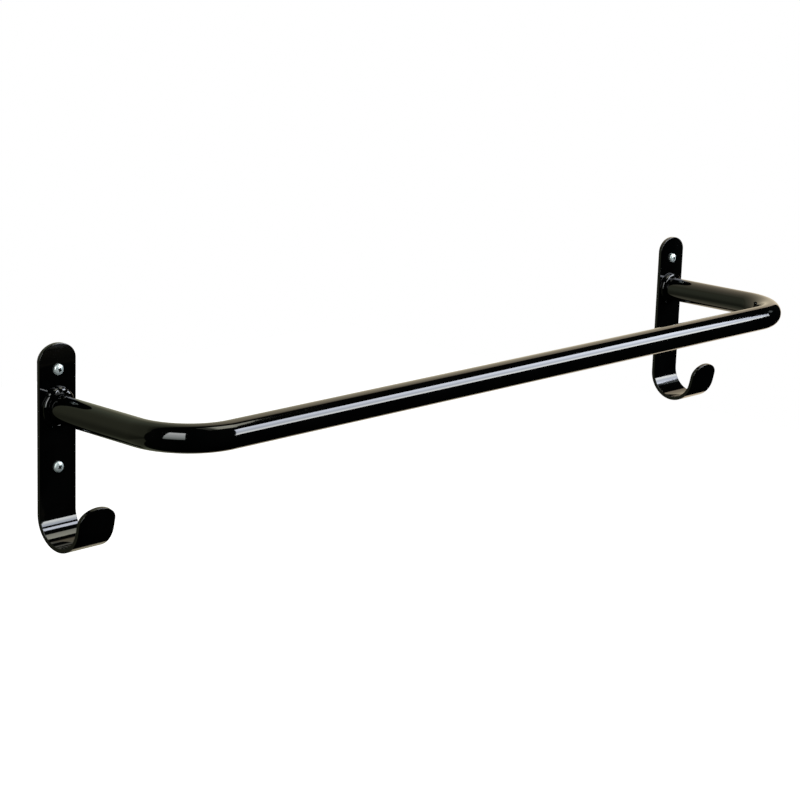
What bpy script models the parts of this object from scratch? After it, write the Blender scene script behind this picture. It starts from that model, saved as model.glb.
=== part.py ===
"""Wall rail for tack: one bent tube between two flat hook brackets.

The wall is the plane y = 0 and the rack stands out towards -Y.  X runs along
the wall from the left bracket to the right one, Z is up, and the origin is
half way between the brackets at the height of the tube's axis.  Every length
is in metres.
"""

import math

import bmesh
import bpy
from mathutils import Vector

# Driving dimensions of the rail.
RAIL_SPAN = 0.8744              # centre of one bracket to centre of the other
PROJECTION = 0.1651             # wall to the axis of the long straight
TUBE_DIAMETER = 0.0254
TUBE_WALL = 0.0016
BEND_RADIUS = 0.0550            # of the tube's axis

# Driving dimensions of a bracket.
STRAP_WIDTH = 0.0400
STRAP_THICKNESS = 0.0040
STRAP_TOP = 0.0582              # tube axis up to the strap's upper end
STRAP_END_RISE = 0.0150         # height of the rounding of the upper end
HOOK_DROP = 0.0928              # tube axis down to the start of the hook
HOOK_INNER_RADIUS = 0.0245
HOOK_TURN = math.radians(168.0)
HOOK_TIP = 0.0212               # straight length after the bend
HOOK_END_RISE = 0.0130          # rounding of the hook's tip
STRAP_EDGE_ROUND = 0.0005

# Driving dimensions of a weld bead.
WELD_LEG = 0.0055
WELD_BULGE = 0.0007

# Driving dimensions of a screw.
UPPER_SCREW_HEIGHT = 0.0349     # above the tube's axis
LOWER_SCREW_DROP = 0.0524       # below the tube's axis
SCREW_DIAMETER = 0.0048
SCREW_LENGTH = 0.0190           # under the head
SCREW_POINT = 0.0050
HEAD_DIAMETER = 0.0100
HEAD_HEIGHT = 0.0029
HEAD_RIM = 0.0009
RECESS_SPAN = 0.0060
RECESS_SLOT = 0.0018
RECESS_DEPTH = 0.0019
SCREW_TURNS = {                 # how far round each cross recess stopped
    "left_upper": math.radians(18.0),
    "left_lower": math.radians(-31.0),
    "right_upper": math.radians(40.0),
    "right_lower": math.radians(7.0),
}

# Clearances.
FIT_GAP = 0.0003                # between faces that touch
HOLE_CLEARANCE = 0.0006         # all round a screw's shank

# Facets.
TUBE_SIDES = 32
BEND_STEPS = 12
HOOK_STEPS = 15
END_STEPS = 14
BEAD_STEPS = 4
SCREW_SIDES = 20
DOME_STEPS = 4


def clear_scene():
    """Remove everything that a new file starts with."""
    for item in list(bpy.data.objects):
        bpy.data.objects.remove(item, do_unlink=True)


def make_material(name, colour, metallic, roughness):
    """Return a Principled BSDF material."""
    material = bpy.data.materials.new(name)
    material.use_nodes = True
    shader = material.node_tree.nodes["Principled BSDF"]
    shader.inputs["Base Color"].default_value = (*colour, 1.0)
    shader.inputs["Metallic"].default_value = metallic
    shader.inputs["Roughness"].default_value = roughness
    return material


def make_mesh(name, build, smooth_angle):
    """Return a mesh that BUILD fills, with its faces pointing out."""
    work = bmesh.new()
    build(work)
    bmesh.ops.recalc_face_normals(work, faces=work.faces)
    mesh = bpy.data.meshes.new(name)
    work.to_mesh(mesh)
    work.free()
    mesh.shade_smooth()
    mesh.set_sharp_from_angle(angle=smooth_angle)
    return mesh


def place(name, mesh, material, parent, location=(0.0, 0.0, 0.0),
          rotation=(0.0, 0.0, 0.0)):
    """Link a named object that carries MESH under PARENT."""
    item = bpy.data.objects.new(name, mesh)
    item.location = location
    item.rotation_euler = rotation
    item.parent = parent
    bpy.context.scene.collection.objects.link(item)
    if material is not None and not mesh.materials:
        mesh.materials.append(material)
    return item


def place_empty(name, location, parent=None):
    """Link an empty that other pieces hang from."""
    item = bpy.data.objects.new(name, None)
    item.empty_display_size = 0.03
    item.location = location
    item.parent = parent
    bpy.context.scene.collection.objects.link(item)
    return item


def cut(target, cutter):
    """Cut TARGET with CUTTER and keep the cutter out of the model."""
    cutter.hide_render = True
    cutter.display_type = "WIRE"
    modifier = target.modifiers.new("cut_" + cutter.name, "BOOLEAN")
    modifier.operation = "DIFFERENCE"
    modifier.solver = "EXACT"
    modifier.object = cutter


# --- the bent tube -------------------------------------------------------

def rail_path():
    """Return (point, direction) pairs along the tube's axis."""
    half = RAIL_SPAN / 2
    start_y = -(STRAP_THICKNESS + FIT_GAP)
    bend_y = -(PROJECTION - BEND_RADIUS)
    left = [((-half, start_y), (0.0, -1.0))]
    for step in range(BEND_STEPS + 1):
        angle = math.pi / 2 * step / BEND_STEPS
        point = (-half + BEND_RADIUS * (1 - math.cos(angle)),
                 bend_y - BEND_RADIUS * math.sin(angle))
        left.append((point, (math.sin(angle), -math.cos(angle))))
    right = [((-x, y), (dx, -dy)) for (x, y), (dx, dy) in reversed(left)]
    return left + right


def build_tube(work):
    """Sweep an open-ended pipe along the rail's path."""
    path = rail_path()
    walls = []
    for radius in (TUBE_DIAMETER / 2, TUBE_DIAMETER / 2 - TUBE_WALL):
        rings = []
        for (x, y), (dx, dy) in path:
            centre = Vector((x, y, 0.0))
            across = Vector((dy, -dx, 0.0))
            ring = []
            for side in range(TUBE_SIDES):
                turn = 2 * math.pi * side / TUBE_SIDES
                offset = across * math.cos(turn) + Vector((0, 0, math.sin(turn)))
                ring.append(work.verts.new(centre + offset * radius))
            rings.append(ring)
        walls.append(rings)
        join_rings(work, rings)
    for end in (0, -1):
        join_rings(work, [walls[0][end], walls[1][end]])


def join_rings(work, rings, closed=False):
    """Skin each ring of vertices to the next with quads."""
    pairs = list(zip(rings, rings[1:]))
    if closed:
        pairs.append((rings[-1], rings[0]))
    for first, second in pairs:
        count = len(first)
        for i in range(count):
            j = (i + 1) % count
            work.faces.new((first[i], first[j], second[j], second[i]))


# --- the bracket ---------------------------------------------------------

def strap_point(across, along, depth):
    """Map a point of the flat strap to the bent one.

    ALONG is measured down the strap's middle layer from its upper end, and
    DEPTH runs from the face on the wall to the face towards the room.
    """
    straight = STRAP_TOP + HOOK_DROP
    middle = HOOK_INNER_RADIUS + STRAP_THICKNESS / 2
    arc = middle * HOOK_TURN
    if along <= straight:
        return Vector((across, -depth, STRAP_TOP - along))
    centre = Vector((across, -(STRAP_THICKNESS + HOOK_INNER_RADIUS),
                     -HOOK_DROP))
    turn = min((along - straight) / middle, HOOK_TURN)
    outward = Vector((0.0, math.cos(turn), -math.sin(turn)))
    onward = Vector((0.0, -math.sin(turn), -math.cos(turn)))
    radius = HOOK_INNER_RADIUS + STRAP_THICKNESS - depth
    return centre + outward * radius + onward * max(along - straight - arc, 0.0)


def rounded_end(rise):
    """Return half of a strap's rounded end as (across, distance) pairs."""
    points = []
    for step in range(END_STEPS // 2 + 1):
        angle = math.pi / 2 * step / (END_STEPS // 2)
        points.append((STRAP_WIDTH / 2 * math.sin(angle),
                       rise * (1 - math.cos(angle))))
    return points


def build_strap(work):
    """Lay out the strap's outline, give it thickness and bend its hook."""
    straight = STRAP_TOP + HOOK_DROP
    arc = (HOOK_INNER_RADIUS + STRAP_THICKNESS / 2) * HOOK_TURN
    length = straight + arc + HOOK_TIP
    half = STRAP_WIDTH / 2
    top = rounded_end(STRAP_END_RISE)
    tip = [(across, length - away) for across, away in
           reversed(rounded_end(HOOK_END_RISE))]
    side = [(half, straight + arc * step / HOOK_STEPS)
            for step in range(HOOK_STEPS + 1)]
    faces = []
    for depth in (0.0, STRAP_THICKNESS):
        right = [work.verts.new(strap_point(a, s, depth))
                 for a, s in top + side + tip]
        left = [right[0]]
        left += [work.verts.new(strap_point(-a, s, depth))
                 for a, s in (top + side + tip)[1:-1]]
        left.append(right[-1])
        first = len(top)
        last = first + len(side) - 1
        work.faces.new(right[:first + 1] + left[first:0:-1])
        for i in range(first, last):
            work.faces.new((right[i], right[i + 1], left[i + 1], left[i]))
        work.faces.new(right[last:] + left[-2:last - 1:-1])
        faces.append((right, left))
    (right_back, left_back), (right_front, left_front) = faces
    for back, front in ((right_back, right_front), (left_back, left_front)):
        for i in range(len(back) - 1):
            work.faces.new((back[i], back[i + 1], front[i + 1], front[i]))


def build_hole_cutter(work):
    """A round punch for one screw hole, longer than the strap is thick."""
    bmesh.ops.create_cone(work, cap_ends=True, segments=SCREW_SIDES,
                          radius1=SCREW_DIAMETER / 2 + HOLE_CLEARANCE,
                          radius2=SCREW_DIAMETER / 2 + HOLE_CLEARANCE,
                          depth=STRAP_THICKNESS * 3)


# --- the weld bead -------------------------------------------------------

def build_bead(work):
    """Turn the fillet that runs round the tube on the strap's face."""
    inner = TUBE_DIAMETER / 2 + FIT_GAP
    reach = WELD_LEG - FIT_GAP
    profile = [(inner, 0.0), (inner + reach, 0.0)]
    for step in range(1, BEAD_STEPS):
        part = step / BEAD_STEPS
        bulge = WELD_BULGE * math.sin(math.pi * part)
        profile.append((inner + reach * (1 - part) + bulge,
                        WELD_LEG * part + bulge))
    profile.append((inner, WELD_LEG))
    rings = []
    for radius, height in profile:
        rings.append([work.verts.new((
            radius * math.cos(2 * math.pi * side / TUBE_SIDES),
            radius * math.sin(2 * math.pi * side / TUBE_SIDES),
            height)) for side in range(TUBE_SIDES)])
    join_rings(work, rings, closed=True)


# --- the screw -----------------------------------------------------------

def screw_profile():
    """Return (radius, height) pairs from the head's rim to the point."""
    head = HEAD_DIAMETER / 2
    dome = HEAD_HEIGHT - HEAD_RIM
    points = []
    for step in range(1, DOME_STEPS + 1):
        angle = math.pi / 2 * step / DOME_STEPS
        points.append((head * math.sin(angle),
                       HEAD_RIM + dome * math.cos(angle)))
    points.append((head, 0.0))
    points.append((SCREW_DIAMETER / 2, 0.0))
    points.append((SCREW_DIAMETER / 2, -(SCREW_LENGTH - SCREW_POINT)))
    return points


def build_screw(work):
    """Turn a pan head screw whose axis is Z and whose head seats on z = 0."""
    rings = []
    for radius, height in screw_profile():
        rings.append([work.verts.new((
            radius * math.cos(2 * math.pi * side / SCREW_SIDES),
            radius * math.sin(2 * math.pi * side / SCREW_SIDES),
            height)) for side in range(SCREW_SIDES)])
    join_rings(work, rings)
    for ring, height in ((rings[0], HEAD_HEIGHT), (rings[-1], -SCREW_LENGTH)):
        pole = work.verts.new((0.0, 0.0, height))
        for i in range(SCREW_SIDES):
            work.faces.new((ring[i], ring[(i + 1) % SCREW_SIDES], pole))


def build_recess_cutter(work):
    """A tapered cross that leaves a driver recess in the head."""
    rings = []
    for height, scale in ((HEAD_HEIGHT - RECESS_DEPTH, 0.45),
                          (HEAD_HEIGHT, 1.0),
                          (HEAD_HEIGHT + RECESS_DEPTH, 1.0)):
        reach = RECESS_SPAN / 2 * scale
        slot = RECESS_SLOT / 2 * (0.6 + 0.4 * scale)
        corners = []
        for quarter in range(4):
            turn = math.pi / 2 * quarter
            for x, y in ((slot, slot), (slot, reach), (-slot, reach)):
                corners.append(work.verts.new((
                    x * math.cos(turn) - y * math.sin(turn),
                    x * math.sin(turn) + y * math.cos(turn), height)))
        rings.append(corners)
    join_rings(work, rings)
    work.faces.new(rings[0])
    work.faces.new(rings[-1])


# --- the assembly --------------------------------------------------------

def build_side(side, across, shapes, finishes, rack):
    """Hang one bracket with its bead and its two screws from RACK."""
    base = place_empty(side + "_station", (across, 0.0, 0.0), rack)
    bracket = place(side + "_bracket", shapes["strap"], finishes["bracket"],
                    base)
    edge = bracket.modifiers.new("edge", "BEVEL")
    edge.width = STRAP_EDGE_ROUND
    edge.segments = 2
    edge.limit_method = "ANGLE"
    edge.angle_limit = math.radians(50.0)
    facing = (math.pi / 2, 0.0, 0.0)
    front = -(STRAP_THICKNESS + FIT_GAP)
    place(side + "_weld_bead", shapes["bead"], finishes["bead"], base,
          (0.0, front, 0.0), facing)
    for level, height in (("upper", UPPER_SCREW_HEIGHT),
                          ("lower", -LOWER_SCREW_DROP)):
        hole = place(f"{side}_{level}_hole", shapes["hole"], None, base,
                     (0.0, -STRAP_THICKNESS / 2, height), facing)
        cut(bracket, hole)
        turn = SCREW_TURNS[f"{side}_{level}"]
        screw = place(f"{side}_{level}_screw", shapes["screw"],
                      finishes["screw"], base, (0.0, front, height),
                      (math.pi / 2, turn, 0.0))
        recess = place(f"{side}_{level}_recess", shapes["recess"], None, base,
                       screw.location, screw.rotation_euler)
        cut(screw, recess)


def main():
    """Build the whole rack."""
    clear_scene()
    finishes = {
        "rail": make_material("rail_black_gloss", (0.008, 0.008, 0.007),
                              0.0, 0.12),
        "bracket": make_material("bracket_black_gloss", (0.006, 0.006, 0.006),
                                 0.0, 0.14),
        "bead": make_material("bead_black_gloss", (0.008, 0.008, 0.008),
                              0.0, 0.18),
        "screw": make_material("screw_zinc", (0.74, 0.76, 0.73), 1.0, 0.24),
    }
    round_angle = math.radians(35.0)
    shapes = {
        "strap": make_mesh("strap", build_strap, round_angle),
        "bead": make_mesh("bead", build_bead, round_angle),
        "screw": make_mesh("screw", build_screw, round_angle),
        "hole": make_mesh("hole", build_hole_cutter, round_angle),
        "recess": make_mesh("recess", build_recess_cutter, round_angle),
    }
    rack = place_empty("rack", (0.0, 0.0, 0.0))
    place("rail_tube", make_mesh("rail_tube", build_tube, round_angle),
          finishes["rail"], rack)
    build_side("left", -RAIL_SPAN / 2, shapes, finishes, rack)
    build_side("right", RAIL_SPAN / 2, shapes, finishes, rack)


main()
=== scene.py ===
"""Finished look of a wall rail for tack: one bent tube on two hook straps.

The wall is the plane y = 0, the rail stands out towards -Y, X runs along the
wall and Z is up.  Every length is in metres.
"""

import logging
import math
import random
from dataclasses import dataclass, field
from enum import Enum
from typing import Any, Callable, Mapping, Optional, Sequence, Union

import bpy
from mathutils import Matrix, Vector


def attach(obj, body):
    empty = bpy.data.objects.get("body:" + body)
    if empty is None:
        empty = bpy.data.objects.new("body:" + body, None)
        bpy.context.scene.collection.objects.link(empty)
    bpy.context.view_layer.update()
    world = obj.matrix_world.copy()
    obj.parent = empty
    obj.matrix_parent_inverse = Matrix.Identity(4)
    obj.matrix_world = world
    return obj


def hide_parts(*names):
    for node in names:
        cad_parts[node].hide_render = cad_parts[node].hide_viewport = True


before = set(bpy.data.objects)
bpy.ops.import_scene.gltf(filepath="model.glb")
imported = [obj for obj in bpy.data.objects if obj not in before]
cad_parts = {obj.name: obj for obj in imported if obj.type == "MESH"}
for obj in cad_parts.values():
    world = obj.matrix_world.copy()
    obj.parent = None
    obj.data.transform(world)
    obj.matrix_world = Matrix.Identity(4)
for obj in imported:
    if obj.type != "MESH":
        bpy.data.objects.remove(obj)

LOG = logging.getLogger("rail")
BODY = "root"
TINY = 1e-5
TUBE_SMOOTH = math.radians(40.0)
BEND_SMOOTH = math.radians(35.0)
STRAP_SMOOTH = math.radians(60.0)
BEAD_SMOOTH = math.radians(80.0)
SCREW_SMOOTH = math.radians(38.0)

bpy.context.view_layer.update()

Number = Union[int, float]
Triple = tuple[float, float, float]


class Side(Enum):
    """Which end of the rail a piece belongs to."""

    LEFT = "left"
    RIGHT = "right"


class Level(Enum):
    """Which of a strap's two screws a piece is."""

    UPPER = "upper"
    LOWER = "lower"


class PaintSlot(Enum):
    """Paint names that each piece is tagged with."""

    RAIL = "rail_paint"
    STRAP = "bracket_paint"
    BEAD = "bead_paint"
    ZINC = "zinc"


# --- shader building ------------------------------------------------------

class Value:
    """One shader socket, with Python's operators for its Math nodes."""

    def __init__(self, graph: "Graph", socket: Any) -> None:
        """Keep the socket and the graph that it lives in."""
        self.graph = graph
        self.socket = socket

    def _math(self, operation: str, *values: Any) -> "Value":
        """Return a Math node's result for this operation."""
        return self.graph.node("ShaderNodeMath", {"operation": operation},
                               dict(enumerate(values)))

    def __add__(self, other: Any) -> "Value":
        """Add."""
        return self._math("ADD", self, other)

    __radd__ = __add__

    def __sub__(self, other: Any) -> "Value":
        """Subtract."""
        return self._math("SUBTRACT", self, other)

    def __rsub__(self, other: Any) -> "Value":
        """Subtract this value from a number."""
        return self._math("SUBTRACT", other, self)

    def __mul__(self, other: Any) -> "Value":
        """Multiply."""
        return self._math("MULTIPLY", self, other)

    __rmul__ = __mul__

    def power(self, exponent: Number) -> "Value":
        """Raise to a power."""
        return self._math("POWER", self, exponent)

    def most(self, other: Any) -> "Value":
        """Return the higher of two values."""
        return self._math("MAXIMUM", self, other)

    def size(self) -> "Value":
        """Return the value without its sign."""
        return self._math("ABSOLUTE", self)

    def ramp(self, low: Number, high: Number) -> "Value":
        """Return 0 below LOW, 1 above HIGH and a smooth step between."""
        return self.graph.node(
            "ShaderNodeMapRange", {"interpolation_type": "SMOOTHSTEP"},
            {"Value": self, "From Min": low, "From Max": high})


class Graph:
    """Nodes of one material or of the world."""

    def __init__(self, owner: Any) -> None:
        """Clear the owner's node tree and write into it."""
        owner.use_nodes = True
        self.tree = owner.node_tree
        self.tree.nodes.clear()

    def node(self, kind: str, settings: Mapping[str, Any],
             inputs: Mapping[Any, Any], output: Any = 0) -> Value:
        """Add one node.

        Args:
            kind: the node's type.
            settings: attributes that are set before its sockets.
            inputs: socket name or number to a value or to a link.
            output: name or number of the socket to return.

        Returns:
            The chosen output.
        """
        item = self.tree.nodes.new(kind)
        for name, setting in settings.items():
            setattr(item, name, setting)
        for name, value in inputs.items():
            if isinstance(value, Value):
                self.tree.links.new(value.socket, item.inputs[name])
            else:
                item.inputs[name].default_value = value
        return Value(self, item.outputs[output])

    def place(self) -> Value:
        """Return the Object coordinates."""
        return self.node("ShaderNodeTexCoord", {}, {}, "Object")

    def axes(self, vector: Value) -> tuple[Value, Value, Value]:
        """Split a vector into its three parts."""
        item = self.tree.nodes.new("ShaderNodeSeparateXYZ")
        self.tree.links.new(vector.socket, item.inputs[0])
        return tuple(Value(self, socket) for socket in item.outputs)

    def noise(self, vector: Value, scale: Number, detail: Number = 2.0,
              roughness: Number = 0.5) -> Value:
        """Return a cloud noise between about 0 and 1."""
        return self.node("ShaderNodeTexNoise", {"noise_dimensions": "3D"},
                         {"Vector": vector, "Scale": scale, "Detail": detail,
                          "Roughness": roughness}, "Fac")

    def blend(self, factor: Any, first: Sequence[float],
              second: Sequence[float]) -> Value:
        """Mix two colours."""
        item = self.tree.nodes.new("ShaderNodeMix")
        item.data_type = "RGBA"
        for index, value in ((0, factor), (6, first), (7, second)):
            if isinstance(value, Value):
                self.tree.links.new(value.socket, item.inputs[index])
            elif index:
                item.inputs[index].default_value = (*value, 1.0)
            else:
                item.inputs[index].default_value = value
        return Value(self, item.outputs[2])

    def shades(self, value: Value,
               stops: Sequence[tuple[float, Triple]]) -> Value:
        """Return the colour that a ramp of stops has at a value."""
        result = self.node("ShaderNodeValToRGB", {}, {"Fac": value}, "Color")
        ramp = result.socket.node.color_ramp
        for count, (place, colour) in enumerate(stops):
            if count:
                stop = ramp.elements.new(place)
            else:
                ramp.elements.remove(ramp.elements[1])
                stop = ramp.elements[0]
                stop.position = place
            stop.color = (*colour, 1.0)
        return result

    def bump(self, height: Value, distance: Number, strength: Number = 1.0,
             under: Optional[Value] = None) -> Value:
        """Return a normal that a height in metres has tilted."""
        inputs = {"Height": height, "Distance": distance,
                  "Strength": strength}
        if under is not None:
            inputs["Normal"] = under
        return self.node("ShaderNodeBump", {}, inputs)

    def surface(self, inputs: Mapping[str, Any]) -> None:
        """Finish the material with one Principled shader."""
        shader = self.node("ShaderNodeBsdfPrincipled", {}, inputs)
        self.node_output("ShaderNodeOutputMaterial", shader)

    def node_output(self, kind: str, shader: Value) -> None:
        """Link a shader to the graph's output."""
        item = self.tree.nodes.new(kind)
        self.tree.links.new(shader.socket, item.inputs["Surface"])


@dataclass(frozen=True)
class GlossEnamel:
    """Black gloss paint that was sprayed on and has the spray's fine peel."""

    name: str
    deep: Triple = (0.0005, 0.0006, 0.0006)
    thin: Triple = (0.0013, 0.0014, 0.0013)
    gloss: float = 0.035
    dull: float = 0.07
    peel: float = 0.000010
    peel_scale: float = 260.0
    sag: float = 0.000030
    sag_scale: float = 45.0
    cloud_scale: float = 18.0
    dust_scale: float = 2600.0
    dust_share: float = 0.25
    dust_dull: float = 0.12
    dust_tint: Triple = (0.05, 0.048, 0.042)

    def material(self) -> bpy.types.Material:
        """Return the paint as a material."""
        material = bpy.data.materials.new(self.name)
        graph = Graph(material)
        place = graph.place()
        cloud = graph.noise(place, self.cloud_scale, 3.0)
        fine = graph.noise(place, self.peel_scale, 2.0, 0.45)
        slow = graph.noise(place, self.sag_scale, 1.0, 0.4)
        dust = graph.noise(place, self.dust_scale, 1.0).ramp(0.74, 0.80)
        tone = graph.blend(cloud.ramp(0.35, 0.65), self.deep, self.thin)
        speck = graph.blend(dust * self.dust_share, (0.0, 0.0, 0.0),
                            self.dust_tint)
        colour = graph.node("ShaderNodeVectorMath", {"operation": "ADD"},
                            {0: tone, 1: speck})
        rough = (cloud.ramp(0.3, 0.7) * (self.dull - self.gloss)
                 + self.gloss + dust * self.dust_dull)
        normal = graph.bump(slow, self.sag)
        normal = graph.bump(fine, self.peel, under=normal)
        graph.surface({"Base Color": colour, "Roughness": rough,
                       "IOR": 1.5, "Normal": normal})
        return material


@dataclass(frozen=True)
class ZincPlate:
    """Bright zinc plate with a cool tint and painted shade in the cross recess."""

    name: str
    bright: Triple = (0.84, 0.92, 0.90)
    dull: Triple = (0.66, 0.76, 0.74)
    # near-black colour painted into the cross recess as its shade
    recess_shade: Triple = (0.004, 0.010, 0.009)
    across: float = 0.4372
    heights: tuple[float, float] = (0.0349, -0.0524)
    seat: float = -0.0043
    rim: float = 0.0009
    dome: float = 0.0020
    head: float = 0.0050
    recess: float = 0.0035
    cloud_scale: float = 420.0
    grain_scale: float = 3800.0
    grain_depth: float = 0.000006
    metallic: float = 0.55

    def material(self) -> bpy.types.Material:
        """Return the plate as a material."""
        material = bpy.data.materials.new(self.name)
        graph = Graph(material)
        place = graph.place()
        cloud = graph.noise(place, self.cloud_scale, 3.0)
        grain = graph.noise(place, self.grain_scale, 2.0)
        recess_shade_mask = self.recess_shade_mask(graph, place)
        plate = graph.blend(cloud.ramp(0.3, 0.7), self.dull, self.bright)
        # painted shade: the cross recess is darkened in the base colour
        colour = graph.blend(recess_shade_mask, plate, self.recess_shade)
        rough = grain * 0.16 + cloud * 0.12 + 0.22
        normal = graph.bump(grain, self.grain_depth)
        graph.surface({"Base Color": colour, "Roughness": rough,
                       "Metallic": self.metallic, "Normal": normal})
        return material

    def recess_shade_mask(self, graph: Graph, place: Value) -> Value:
        """Return 1 below the dome's surface, inside the cross recess, where the
        recess's shade is painted into the colour.
        """
        x, y, z = graph.axes(place)
        upper, lower = self.heights
        level = z.ramp(-0.001, 0.001) * (upper - lower) + lower
        off_x = x.size() - self.across
        off_z = z - level
        out = off_x * off_x + off_z * off_z
        curve = (1.0 - out * (1 / self.head ** 2)).most(0.0).power(0.5)
        skin = (self.seat - self.rim) - curve * self.dome
        deep = (y - skin).ramp(0.00005, 0.0003)
        inside = 1.0 - out.ramp(0.9 * self.recess ** 2, self.recess ** 2)
        front = (self.seat - y).ramp(0.0, 0.0002)
        return deep * inside * front


# --- modelling steps ------------------------------------------------------

def settle() -> None:
    """Leave edit mode and let go of every object."""
    if bpy.context.object and bpy.context.object.mode != "OBJECT":
        bpy.ops.object.mode_set(mode="OBJECT")
    bpy.ops.object.select_all(action="DESELECT")


def hold(item: bpy.types.Object) -> None:
    """Select one object alone and make it active."""
    settle()
    item.select_set(True)
    bpy.context.view_layer.objects.active = item


def fixed(item: bpy.types.Object) -> None:
    """Put an object's place, turn and scale into its mesh."""
    hold(item)
    bpy.ops.object.transform_apply(location=True, rotation=True, scale=True)


def edit(item: bpy.types.Object, test: Callable[[Vector], bool],
         by: str = "VERT") -> int:
    """Enter edit mode with the vertices selected that pass a test.

    Args:
        item: the object to edit.
        test: says for a vertex's place whether it is selected.
        by: the select mode to end in.

    Returns:
        How many vertices are selected.
    """
    hold(item)
    bpy.ops.object.mode_set(mode="EDIT")
    bpy.ops.mesh.select_mode(type="VERT")
    bpy.ops.mesh.select_all(action="DESELECT")
    bpy.ops.object.mode_set(mode="OBJECT")
    count = 0
    for vertex in item.data.vertices:
        vertex.select = bool(test(vertex.co))
        count += vertex.select
    bpy.ops.object.mode_set(mode="EDIT")
    if by != "VERT":
        bpy.ops.mesh.select_mode(type=by)
    return count


def pull(x: float, y: float, z: float) -> None:
    """Extrude what is selected by a vector."""
    bpy.ops.mesh.extrude_region_move(
        TRANSFORM_OT_translate={"value": (x, y, z)})


def widen(x: float, y: float, z: float, centre: Sequence[float]) -> None:
    """Scale what is selected about a point."""
    bpy.ops.transform.resize(value=(x, y, z), center_override=tuple(centre))


def finish_mesh(item: bpy.types.Object, smooth: float,
                merge: float = 1e-6) -> None:
    """Close a mesh's doubles, face it outwards and shade its round parts."""
    edit(item, lambda place: True)
    bpy.ops.mesh.remove_doubles(threshold=merge)
    bpy.ops.mesh.normals_make_consistent(inside=False)
    settle()
    hold(item)
    bpy.ops.object.shade_smooth_by_angle(angle=smooth)


def modify(item: bpy.types.Object, kind: str, **settings: Any) -> None:
    """Add one modifier and apply it."""
    hold(item)
    modifier = item.modifiers.new(kind.lower(), kind)
    for name, value in settings.items():
        setattr(modifier, name, value)
    bpy.ops.object.modifier_apply(modifier=modifier.name)


def subtract(item: bpy.types.Object, cutter: bpy.types.Object) -> None:
    """Cut one object out of another and remove the cutter."""
    modify(item, "BOOLEAN", operation="DIFFERENCE", solver="EXACT",
           object=cutter)
    bpy.data.objects.remove(cutter, do_unlink=True)


def copy_of(item: bpy.types.Object, name: str) -> bpy.types.Object:
    """Copy an object with a mesh of its own."""
    hold(item)
    bpy.ops.object.duplicate(linked=False)
    twin = bpy.context.object
    twin.name = name
    return twin


@dataclass
class Piece:
    """One finished piece and what it stands for."""

    item: bpy.types.Object
    node: str
    slot: PaintSlot
    material: bpy.types.Material

    def deliver(self) -> None:
        """Dress the piece, tie it to the body and hide its CAD node."""
        self.item.data.materials.clear()
        self.item.data.materials.append(self.material)
        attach(self.item, BODY)
        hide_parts(self.node)
        LOG.info("%s stands for %s: %d faces", self.item.name, self.node,
                 len(self.item.data.polygons))


# --- the bent tube --------------------------------------------------------

@dataclass
class Rail:
    """The one tube: arm, bend, long straight, bend, arm."""

    span: float = 0.8744
    projection: float = 0.1651
    diameter: float = 0.0254
    wall: float = 0.0016
    bend: float = 0.0550
    start: float = -0.0043
    sides: int = 96
    bend_steps: int = 48
    paint: GlossEnamel = field(
        default_factory=lambda: GlossEnamel("rail_gloss_enamel"))

    def build(self) -> bpy.types.Object:
        """Carry one ring along the arms, the bends and the straight."""
        half = self.span / 2
        bend_y = -(self.projection - self.bend)
        arm = self.start - bend_y
        settle()
        bpy.ops.mesh.primitive_circle_add(
            vertices=self.sides, radius=self.diameter / 2,
            location=(-half, self.start, 0.0), rotation=(math.pi / 2, 0.0, 0.0))
        item = bpy.context.object
        item.name = "bent_rail"
        fixed(item)
        edit(item, lambda place: True)
        pull(0.0, -arm, 0.0)
        self.turn((-half + self.bend, bend_y, 0.0))
        pull(self.span - 2 * self.bend, 0.0, 0.0)
        self.turn((half - self.bend, bend_y, 0.0))
        pull(0.0, arm, 0.0)
        finish_mesh(item, TUBE_SMOOTH)
        modify(item, "SOLIDIFY", thickness=self.wall, offset=-1.0,
               use_even_offset=True)
        finish_mesh(item, TUBE_SMOOTH)
        return item

    def turn(self, centre: Triple) -> None:
        """Spin the selected ring a quarter turn round a bend's centre."""
        bpy.ops.mesh.spin(steps=self.bend_steps, angle=math.pi / 2,
                          center=centre, axis=(0.0, 0.0, -1.0))

    def deliver(self) -> None:
        """Build, dress and hand over the rail."""
        Piece(self.build(), "rail_tube", PaintSlot.RAIL,
              self.paint.material()).deliver()


# --- a hook strap ---------------------------------------------------------

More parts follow.
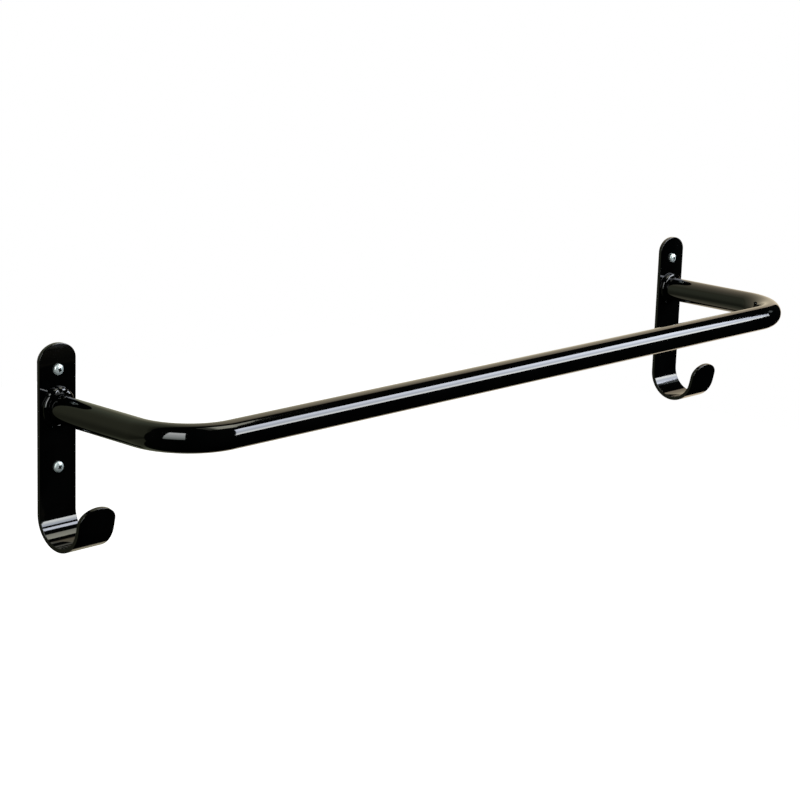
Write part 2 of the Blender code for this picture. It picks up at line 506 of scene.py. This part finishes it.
@dataclass
class Strap:
    """A flat strap with a rounded top and its lower end bent into a hook."""

    width: float = 0.0400
    thickness: float = 0.0040
    top: float = 0.0582
    top_rise: float = 0.0150
    drop: float = 0.0928
    inner_radius: float = 0.0245
    turn: float = math.radians(168.0)
    tip: float = 0.0212
    tip_rise: float = 0.0130
    edge: float = 0.00055
    hole: float = 0.0030
    screw_heights: tuple[float, float] = (0.0349, -0.0524)
    arc_points: int = 32
    hook_steps: int = 44
    paint: GlossEnamel = field(
        default_factory=lambda: GlossEnamel("strap_gloss_enamel"))

    def build(self) -> bpy.types.Object:
        """Lay out the strap's back, bend its hook and give it thickness."""
        item = self.rounded_top()
        spring = self.top - self.top_rise
        edit(item, lambda place: place.z < spring + TINY)
        pull(0.0, 0.0, -(self.drop + spring))
        radius = self.thickness + self.inner_radius
        bpy.ops.mesh.spin(steps=self.hook_steps, angle=self.turn,
                          center=(0.0, -radius, -self.drop),
                          axis=(1.0, 0.0, 0.0))
        self.rounded_tip(radius)
        edit(item, lambda place: True)
        bpy.ops.mesh.dissolve_limited(angle_limit=math.radians(1.0))
        finish_mesh(item, BEND_SMOOTH)
        modify(item, "SOLIDIFY", thickness=self.thickness, offset=-1.0,
               use_even_offset=True)
        finish_mesh(item, BEND_SMOOTH)
        for height in self.screw_heights:
            self.punch(item, height)
        modify(item, "BEVEL", width=self.edge, segments=4,
               limit_method="ANGLE", angle_limit=math.radians(50.0))
        finish_mesh(item, STRAP_SMOOTH)
        modify(item, "WEIGHTED_NORMAL", mode="FACE_AREA", weight=100,
               keep_sharp=True)
        return item

    def rounded_top(self) -> bpy.types.Object:
        """Return the flat upper end: half an oval."""
        spring = self.top - self.top_rise
        settle()
        bpy.ops.mesh.primitive_circle_add(
            vertices=2 * self.arc_points, radius=self.width / 2,
            location=(0.0, 0.0, spring), rotation=(math.pi / 2, 0.0, 0.0))
        item = bpy.context.object
        item.name = "strap_pattern"
        fixed(item)
        edit(item, lambda place: True)
        widen(1.0, 1.0, self.top_rise / (self.width / 2), (0.0, 0.0, spring))
        edit(item, lambda place: place.z < spring - TINY)
        bpy.ops.mesh.delete(type="VERT")
        edit(item, lambda place: True)
        bpy.ops.mesh.edge_face_add()
        return item

    def rounded_tip(self, radius: float) -> None:
        """Carry the selected edge along the hook's tip and round it off."""
        onward = Vector((0.0, -math.sin(self.turn), -math.cos(self.turn)))
        outward = Vector((0.0, math.cos(self.turn), -math.sin(self.turn)))
        centre = Vector((0.0, -radius, -self.drop)) + outward * radius
        straight = self.tip - self.tip_rise
        pull(*(onward * straight))
        centre += onward * straight
        steps = self.arc_points // 2
        before, reach = 1.0, 0.0
        for step in range(1, steps + 1):
            angle = math.pi / 2 * step / steps
            onward_step = self.tip_rise * math.sin(angle) - reach
            reach += onward_step
            centre += onward * onward_step
            pull(*(onward * onward_step))
            if step == steps:
                bpy.ops.mesh.merge(type="CENTER")
            else:
                widen(math.cos(angle) / before, 1.0, 1.0, centre)
                before = math.cos(angle)

    def punch(self, item: bpy.types.Object, height: float) -> None:
        """Cut one round screw hole."""
        settle()
        bpy.ops.mesh.primitive_cylinder_add(
            vertices=48, radius=self.hole, depth=self.thickness * 4,
            location=(0.0, -self.thickness / 2, height),
            rotation=(math.pi / 2, 0.0, 0.0))
        subtract(item, bpy.context.object)

    def deliver(self, places: Mapping[Side, float]) -> None:
        """Build one strap and hand over a copy for each end."""
        pattern = self.build()
        material = self.paint.material()
        for side, across in places.items():
            item = copy_of(pattern, side.value + "_hook_strap")
            item.location = (across, 0.0, 0.0)
            fixed(item)
            Piece(item, side.value + "_bracket", PaintSlot.STRAP,
                  material).deliver()
        bpy.data.objects.remove(pattern, do_unlink=True)


# --- a weld bead ----------------------------------------------------------

@dataclass
class Bead:
    """A fillet weld laid in overlapping pools round the tube."""

    tube_radius: float = 0.0127
    face: float = -0.0040
    leg: float = 0.0055
    pools: int = 9
    crown: Mapping[Side, float] = field(
        default_factory=lambda: {Side.LEFT: 0.42, Side.RIGHT: 0.0})
    bulge: Mapping[Side, float] = field(
        default_factory=lambda: {Side.LEFT: 0.46, Side.RIGHT: 0.32})
    voxel: float = 0.00030
    smoothing: int = 16
    paint: GlossEnamel = field(default_factory=lambda: GlossEnamel(
        "bead_gloss_enamel", peel=0.000004, sag=0.00002, sag_scale=160.0))

    def build(self, side: Side, seed: int) -> bpy.types.Object:
        """Lay the pools over a core ring and melt them together."""
        chance = random.Random(seed)
        settle()
        bpy.ops.mesh.primitive_torus_add(
            major_segments=120, minor_segments=20,
            major_radius=self.tube_radius + self.leg * 0.38,
            minor_radius=self.leg * 0.50,
            location=(0.0, self.face - self.leg * 0.24, 0.0),
            rotation=(math.pi / 2, 0.0, 0.0))
        core = bpy.context.object
        fixed(core)
        pools = [core]
        for count in range(self.pools):
            angle = 2 * math.pi * (count + chance.uniform(-0.25, 0.25)) / self.pools
            rise = max(0.0, math.sin(angle)) ** 2 * self.crown[side]
            pools.append(self.pool(angle, rise, self.bulge[side],
                                   chance.uniform(0.88, 1.12)))
        settle()
        for pool in pools:
            pool.select_set(True)
        bpy.context.view_layer.objects.active = core
        bpy.ops.object.join()
        modify(core, "REMESH", mode="VOXEL", voxel_size=self.voxel)
        modify(core, "SMOOTH", factor=0.5, iterations=self.smoothing)
        finish_mesh(core, BEAD_SMOOTH)
        return core

    def pool(self, angle: float, rise: float, bulge: float,
             size: float) -> bpy.types.Object:
        """Return one frozen pool of weld metal.

        Args:
            angle: where round the tube it lies.
            rise: how far it runs out onto the strap, in legs.
            bulge: how far it stands out of the core, in legs.
            size: its size beside a usual one.
        """
        bpy.ops.mesh.primitive_uv_sphere_add(segments=20, ring_count=12,
                                             radius=1.0)
        item = bpy.context.object
        outward = Vector((math.cos(angle), 0.0, math.sin(angle)))
        room = Vector((0.0, -1.0, 0.0))
        along = outward.cross(room).normalized()
        lean = (outward + room).normalized()
        across = lean.cross(along).normalized()
        spot = (outward * (self.tube_radius + self.leg * (0.36 + rise))
                + Vector((0.0, self.face - self.leg * 0.30, 0.0)))
        frame_axes = Matrix((along, across, lean)).transposed().to_4x4()
        reach = Matrix.Diagonal((self.leg * 1.10 * size, self.leg * 0.60,
                                 self.leg * bulge * size, 1.0))
        item.data.transform(Matrix.Translation(spot) @ frame_axes @ reach)
        return item

    def deliver(self, places: Mapping[Side, float]) -> None:
        """Build a bead for each end and hand it over."""
        material = self.paint.material()
        for seed, (side, across) in enumerate(places.items()):
            item = self.build(side, seed + 11)
            item.name = side.value + "_weld"
            item.location = (across, 0.0, 0.0)
            fixed(item)
            Piece(item, side.value + "_weld_bead", PaintSlot.BEAD,
                  material).deliver()


# --- a screw --------------------------------------------------------------

@dataclass
class Screw:
    """A pan head wood screw with a cross recess."""

    seat: float = -0.0043
    shank: float = 0.0024
    length: float = 0.0190
    point: float = 0.0050
    head: float = 0.0050
    head_height: float = 0.0029
    rim: float = 0.0009
    recess: float = 0.0030
    slot: float = 0.0009
    depth: float = 0.0019
    pitch: float = 0.0018
    thread: float = 0.00042
    smooth_shank: float = 0.0055
    sides: int = 48
    dome_steps: int = 10
    shank_steps: int = 96
    tip_steps: int = 24
    crest: float = 0.22
    turns: Mapping[tuple[Side, Level], float] = field(default_factory=lambda: {
        (Side.LEFT, Level.UPPER): math.radians(18.0),
        (Side.LEFT, Level.LOWER): math.radians(-31.0),
        (Side.RIGHT, Level.UPPER): math.radians(40.0),
        (Side.RIGHT, Level.LOWER): math.radians(7.0),
    })
    heights: Mapping[Level, float] = field(default_factory=lambda: {
        Level.UPPER: 0.0349, Level.LOWER: -0.0524})
    plate: ZincPlate = field(
        default_factory=lambda: ZincPlate("bright_zinc_plate"))

    def build(self) -> bpy.types.Object:
        """Draw out the head and the shank from one ring, then cut them."""
        settle()
        bpy.ops.mesh.primitive_circle_add(
            vertices=self.sides, radius=self.head,
            location=(0.0, self.seat, 0.0), rotation=(math.pi / 2, 0.0, 0.0))
        item = bpy.context.object
        item.name = "screw_pattern"
        fixed(item)
        edit(item, lambda place: True)
        self.draw_head()
        edit(item, lambda place: place.y > self.seat - TINY)
        self.draw_shank()
        self.cut_thread(item)
        finish_mesh(item, SCREW_SMOOTH)
        for quarter in (0.0, math.pi / 2):
            subtract(item, self.recess_blade(quarter))
        finish_mesh(item, SCREW_SMOOTH)
        return item

    def draw_head(self) -> None:
        """Carry the selected ring up the rim and over the dome."""
        pull(0.0, -self.rim, 0.0)
        dome = self.head_height - self.rim
        level, before = 0.0, 1.0
        for step in range(1, self.dome_steps + 1):
            angle = math.pi / 2 * step / self.dome_steps
            rise = dome * math.sin(angle) - level
            level += rise
            pull(0.0, -rise, 0.0)
            if step == self.dome_steps:
                bpy.ops.mesh.merge(type="CENTER")
            else:
                centre = (0.0, self.seat - self.rim - level, 0.0)
                scale = math.cos(angle) / before
                widen(scale, 1.0, scale, centre)
                before = math.cos(angle)

    def draw_shank(self) -> None:
        """Carry the selected ring in under the head and down to the point."""
        scale = self.shank / self.head
        pull(0.0, 0.0, 0.0)
        widen(scale, 1.0, scale, (0.0, self.seat, 0.0))
        straight = self.length - self.point
        for _ in range(self.shank_steps):
            pull(0.0, straight / self.shank_steps, 0.0)
        before = 1.0
        for step in range(1, self.tip_steps + 1):
            pull(0.0, self.point / self.tip_steps, 0.0)
            if step == self.tip_steps:
                bpy.ops.mesh.merge(type="CENTER")
            else:
                after = 1.0 - (step / self.tip_steps) ** 1.6
                y = self.seat + straight + self.point * step / self.tip_steps
                widen(after / before, 1.0, after / before, (0.0, y, 0.0))
                before = after

    def cut_thread(self, item: bpy.types.Object) -> None:
        """Draw the shank in between the turns of its thread."""
        settle()
        end = self.seat + self.length
        for vertex in item.data.vertices:
            place = vertex.co
            along = place.y - (self.seat + self.smooth_shank)
            if along <= 0.0 or place.y > end - TINY:
                continue
            turn = math.atan2(place.z, place.x) / (2 * math.pi)
            phase = (along / self.pitch - turn) % 1.0
            crest = max(0.0, 1.0 - abs(phase - 0.5) / self.crest)
            fade = min(1.0, along / self.pitch)
            radius = math.hypot(place.x, place.z)
            if radius > TINY:
                scale = 1.0 - self.thread / self.shank * (1 - crest) * fade
                place.x *= scale
                place.z *= scale

    def recess_blade(self, quarter: float) -> bpy.types.Object:
        """Return a tapered blade that cuts one arm pair of the recess."""
        settle()
        bpy.ops.mesh.primitive_cube_add(size=1.0)
        item = bpy.context.object
        item.scale = (2 * self.recess, 2 * self.depth, 2 * self.slot)
        item.location = (0.0, self.seat - self.head_height, 0.0)
        fixed(item)
        floor = self.seat - self.head_height + self.depth
        edit(item, lambda place: place.y > floor - TINY)
        widen(0.45, 1.0, 0.7, (0.0, floor, 0.0))
        settle()
        item.rotation_euler = (0.0, quarter, 0.0)
        fixed(item)
        return item

    def deliver(self, places: Mapping[Side, float]) -> None:
        """Build one screw and hand over a copy for each hole."""
        pattern = self.build()
        material = self.plate.material()
        for (side, level), turn in self.turns.items():
            item = copy_of(pattern, f"{side.value}_{level.value}_wood_screw")
            item.rotation_euler = (0.0, turn, 0.0)
            item.location = (places[side], 0.0, self.heights[level])
            fixed(item)
            Piece(item, f"{side.value}_{level.value}_screw", PaintSlot.ZINC,
                  material).deliver()
        bpy.data.objects.remove(pattern, do_unlink=True)


# --- studio ---------------------------------------------------------------

@dataclass
class Panel:
    """A soft light panel that only the object sees.

    Its sides can be slid against each other: slant lifts the +X side and
    drops the other, and fan adds to that at the upper corners.
    """

    name: str
    centre: Triple
    aim: Triple
    size: tuple[float, float]
    power: float
    shades: Sequence[tuple[float, Triple]]
    slant: float = 0.0
    fan: float = 0.0
    shaded_across: bool = False

    def build(self) -> None:
        """Stand the panel up facing its aim, shaded up or across."""
        settle()
        bpy.ops.mesh.primitive_plane_add(size=1.0)
        item = bpy.context.object
        lift = self.slant / self.size[1]
        for hand in (-1, 1):
            for foot, share in ((-1, 0.0), (1, self.fan / self.size[1])):
                edit(item, lambda place: place.x * hand > 0
                     and place.y * foot > 0)
                bpy.ops.transform.translate(
                    value=(0.0, hand * (lift + share), 0.0))
        settle()
        item.name = self.name
        item.scale = (*self.size, 1.0)
        item.location = self.centre
        facing = Vector(self.centre) - Vector(self.aim)
        item.rotation_euler = facing.to_track_quat("Z", "Y").to_euler()
        item.visible_camera = False
        material = bpy.data.materials.new(self.name)
        graph = Graph(material)
        across, up, _ = graph.axes(graph.place())
        way = across if self.shaded_across else up - across * (2 * lift)
        shader = graph.node(
            "ShaderNodeEmission", {},
            {"Color": graph.shades(way + 0.5, self.shades),
             "Strength": self.power})
        graph.node_output("ShaderNodeOutputMaterial", shader)
        item.data.materials.append(material)


@dataclass(frozen=True)
class Backdrop:
    """A tan backdrop behind the wall plane that only the object sees."""

    distance: float = 0.50
    left: float = -2.80
    right: float = 2.10
    low: float = -1.20
    high: float = 2.00
    power: float = 1.5
    tan: Sequence[tuple[float, Triple]] = (
        (0.0, (0.19, 0.20, 0.13)), (0.42, (0.19, 0.20, 0.13)),
        (0.52, (0.27, 0.30, 0.21)), (0.55, (0.27, 0.27, 0.18)),
        (0.57, (0.38, 0.39, 0.28)), (0.64, (0.60, 0.54, 0.39)),
        (0.70, (0.78, 0.69, 0.50)), (0.88, (0.83, 0.71, 0.52)),
        (1.0, (1.0, 0.82, 0.62)))
    fall: Sequence[tuple[float, Triple]] = (
        (0.0, (0.9, 0.9, 0.9)), (0.19, (0.9, 0.9, 0.9)),
        (0.23, (0.42, 0.42, 0.42)), (0.30, (0.5, 0.5, 0.5)),
        (0.38, (0.9, 0.9, 0.9)), (0.42, (1.0, 1.0, 1.0)),
        (0.78, (1.0, 1.0, 1.0)), (0.90, (0.5, 0.5, 0.5)))

    def build(self) -> None:
        """Stand the backdrop up and shade it across and up."""
        settle()
        bpy.ops.mesh.primitive_plane_add(size=1.0)
        item = bpy.context.object
        item.name = "tan_backdrop"
        item.scale = (self.right - self.left, self.high - self.low, 1.0)
        item.location = ((self.right + self.left) / 2, self.distance,
                         (self.high + self.low) / 2)
        item.rotation_euler = (math.pi / 2, 0.0, 0.0)
        item.visible_camera = False
        material = bpy.data.materials.new(item.name)
        graph = Graph(material)
        across, up, _ = graph.axes(graph.place())
        colour = graph.node(
            "ShaderNodeVectorMath", {"operation": "MULTIPLY"},
            {0: graph.shades(across + 0.5, self.tan),
             1: graph.shades(up + 0.5, self.fall)})
        shader = graph.node("ShaderNodeEmission", {},
                            {"Color": colour, "Strength": self.power})
        graph.node_output("ShaderNodeOutputMaterial", shader)
        item.data.materials.append(material)


@dataclass
class Studio:
    """White surroundings, a pale floor, a backdrop, panels and the camera."""

    floor_height: float = -1.35
    floor_size: float = 9.0
    eye: Triple = (-1.7208, -1.6071, 0.5184)
    yaw: float = math.radians(46.99)
    pitch: float = math.radians(13.84)
    roll: float = math.radians(1.90)
    lens: float = 108.65
    sensor: float = 36.0
    dark: float = 0.002
    panels: Sequence[Panel] = (
        Panel("key_panel", (2.565, -2.178, 1.352), (2.565, 0.002, -0.066),
              (2.57, 1.948), 12.7,
              ((0.0, (0.98, 1.0, 1.0)), (0.12, (0.97, 1.0, 1.0)),
               (0.25, (0.78, 0.82, 0.85)), (0.37, (0.58, 0.62, 0.69)),
               (0.46, (0.56, 0.60, 0.69)), (0.59, (0.69, 0.74, 0.85)),
               (0.72, (0.81, 0.86, 0.98)), (1.0, (0.85, 0.90, 1.0))),
              slant=0.25, fan=0.19),
        Panel("window_panel", (-2.166, -1.145, 1.52), (-0.43, -0.153, 1.52),
              (1.166, 2.685), 8.0,
              ((0.0, (0.24, 0.26, 0.25)), (0.13, (0.42, 0.45, 0.43)),
               (0.28, (0.62, 0.66, 0.65)), (0.46, (0.74, 0.76, 0.76)),
               (0.68, (0.98, 1.0, 1.0)))),
        Panel("ceiling_panel", (0.555, -0.494, 1.81), (0.555, -0.494, 0.0),
              (1.35, 0.79), 4.2,
              ((0.0, (0.7, 0.7, 0.6)), (0.2, (1.0, 1.0, 0.84)),
               (0.68, (1.0, 1.0, 0.84)), (0.84, (0.12, 0.12, 0.10))),
              shaded_across=True),
        Panel("side_panel", (2.13, -0.59, 0.865), (0.39, -0.17, 0.005),
              (0.35, 0.30), 0.7, ((0.0, (0.88, 1.0, 1.0)),)),
    )
    backdrop: Backdrop = Backdrop()

    def build(self) -> None:
        """Set up everything that isn't the object."""
        self.surroundings()
        self.floor()
        self.backdrop.build()
        for panel in self.panels:
            panel.build()
        self.camera()

    def surroundings(self) -> None:
        """White to the eye and nearly dark to the paint."""
        world = bpy.data.worlds.new("studio")
        bpy.context.scene.world = world
        graph = Graph(world)
        dark = graph.node("ShaderNodeBackground", {},
                          {"Color": (0.9, 1.0, 0.95, 1.0),
                           "Strength": self.dark})
        white = graph.node("ShaderNodeBackground", {},
                           {"Color": (1.0, 1.0, 1.0, 1.0), "Strength": 1.0})
        seen = graph.node("ShaderNodeLightPath", {}, {}, "Is Camera Ray")
        mixed = graph.node("ShaderNodeMixShader", {},
                           {0: seen, 1: dark, 2: white})
        graph.node_output("ShaderNodeOutputWorld", mixed)

    def floor(self) -> None:
        """A plain pale floor well below the rail."""
        settle()
        bpy.ops.mesh.primitive_plane_add(
            size=self.floor_size, location=(0.0, 0.0, self.floor_height))
        item = bpy.context.object
        item.name = "pale_floor"
        item.visible_glossy = False
        item.visible_diffuse = False
        material = bpy.data.materials.new("pale_floor")
        graph = Graph(material)
        graph.surface({"Base Color": (0.9, 0.9, 0.9, 1.0), "Roughness": 0.9,
                       "Emission Color": (1.0, 1.0, 1.0, 1.0),
                       "Emission Strength": 1.0})
        item.data.materials.append(material)

    def camera(self) -> None:
        """Set the camera at its place, looking along its yaw and pitch."""
        forward = Vector((math.sin(self.yaw) * math.cos(self.pitch),
                          math.cos(self.yaw) * math.cos(self.pitch),
                          -math.sin(self.pitch)))
        level = Vector((math.cos(self.yaw), -math.sin(self.yaw), 0.0))
        rise = level.cross(forward)
        right = level * math.cos(self.roll) + rise * math.sin(self.roll)
        above = rise * math.cos(self.roll) - level * math.sin(self.roll)
        data = bpy.data.cameras.new("camera")
        data.lens = self.lens
        data.sensor_width = self.sensor
        data.clip_end = 100.0
        item = bpy.data.objects.new("camera", data)
        bpy.context.scene.collection.objects.link(item)
        turn = Matrix((right, above, -forward)).transposed().to_4x4()
        item.matrix_world = Matrix.Translation(Vector(self.eye)) @ turn
        bpy.context.scene.camera = item
        bpy.context.scene.view_settings.view_transform = "Standard"


def main() -> None:
    """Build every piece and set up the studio."""
    logging.basicConfig(level=logging.INFO, format="%(name)s: %(message)s")
    rail = Rail()
    places = {Side.LEFT: -rail.span / 2, Side.RIGHT: rail.span / 2}
    rail.deliver()
    Strap().deliver(places)
    Bead().deliver(places)
    Screw().deliver(places)
    settle()
    Studio().build()


if __name__ == "__main__":
    main()
